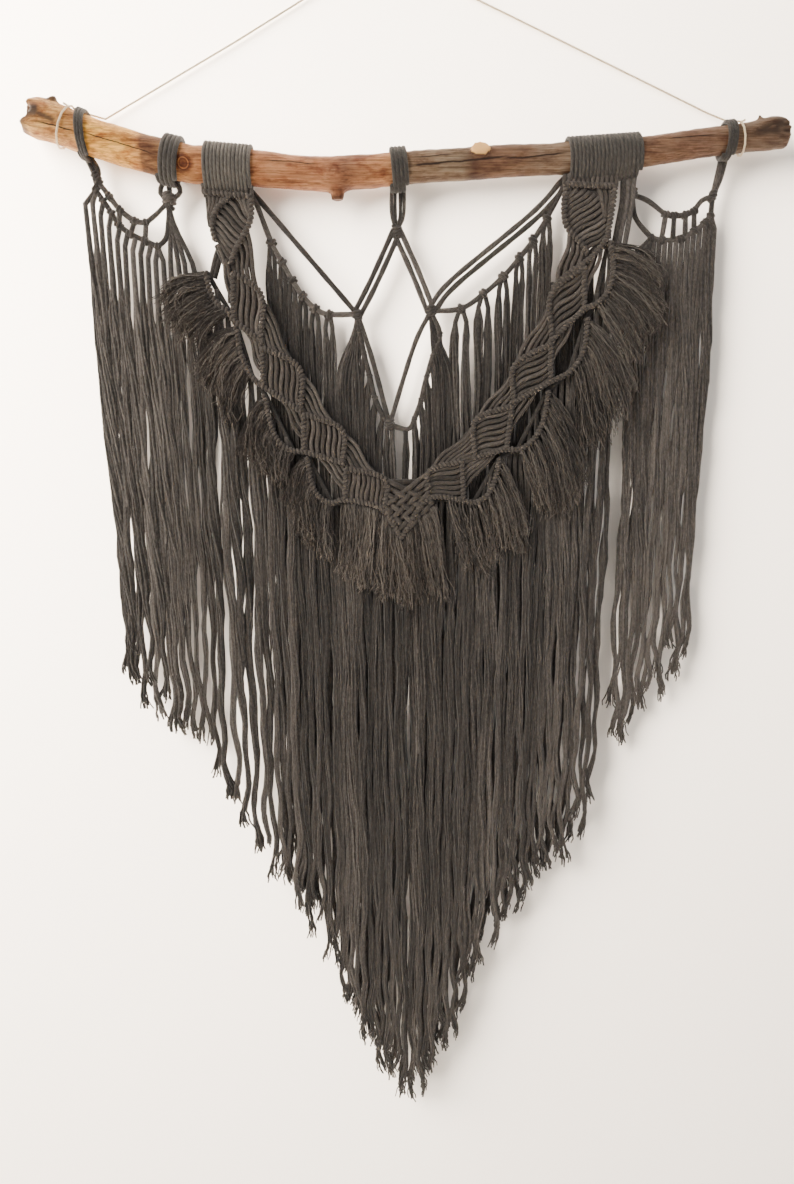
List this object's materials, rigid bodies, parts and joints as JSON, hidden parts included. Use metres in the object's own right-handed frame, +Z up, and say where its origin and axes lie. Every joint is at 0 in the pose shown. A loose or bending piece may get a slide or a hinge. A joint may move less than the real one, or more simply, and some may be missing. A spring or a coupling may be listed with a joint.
{
  "type": "macrame wall hanging on a driftwood branch",
  "caption": "Wide macrame wall hanging: dark cotton cord knotted into a padded V band with tassels and long pointed fringe, tied on a crooked driftwood branch with its hanging string.",
  "frame": {"origin": "the point on the wall where the hanging string is hooked up; y = 0 is the wall", "axes": "+X to the right along the wall, +Z up, -Y out of the wall towards the viewer"},
  "size_m": [0.7952, 0.0488, 1.3494],
  "materials": {
    "driftwood": "dry, bare, weathered",
    "charcoal_cotton": "soft single-strand cotton cord",
    "cream_string": "thin twisted string"
  },
  "bodies": {
    "root": {"branch": "driftwood", "hanging_string": "cream_string", "left_end_ring": "charcoal_cotton", "left_small_wrap": "charcoal_cotton", "left_wide_wrap": "charcoal_cotton", "centre_wrap": "charcoal_cotton", "right_wide_wrap": "charcoal_cotton", "right_end_ring": "charcoal_cotton", "v_band": "charcoal_cotton", "centre_web": "charcoal_cotton", "left_swag": "charcoal_cotton", "right_swag": "charcoal_cotton", "left_curtain": "charcoal_cotton", "right_curtain": "charcoal_cotton", "tassel_left_1": "charcoal_cotton", "tassel_left_2": "charcoal_cotton", "tassel_left_3": "charcoal_cotton", "tassel_left_4": "charcoal_cotton", "tassel_centre": "charcoal_cotton", "tassel_right_4": "charcoal_cotton", "tassel_right_3": "charcoal_cotton", "tassel_right_2": "charcoal_cotton", "tassel_right_1": "charcoal_cotton"}
  },
  "joints": []
}
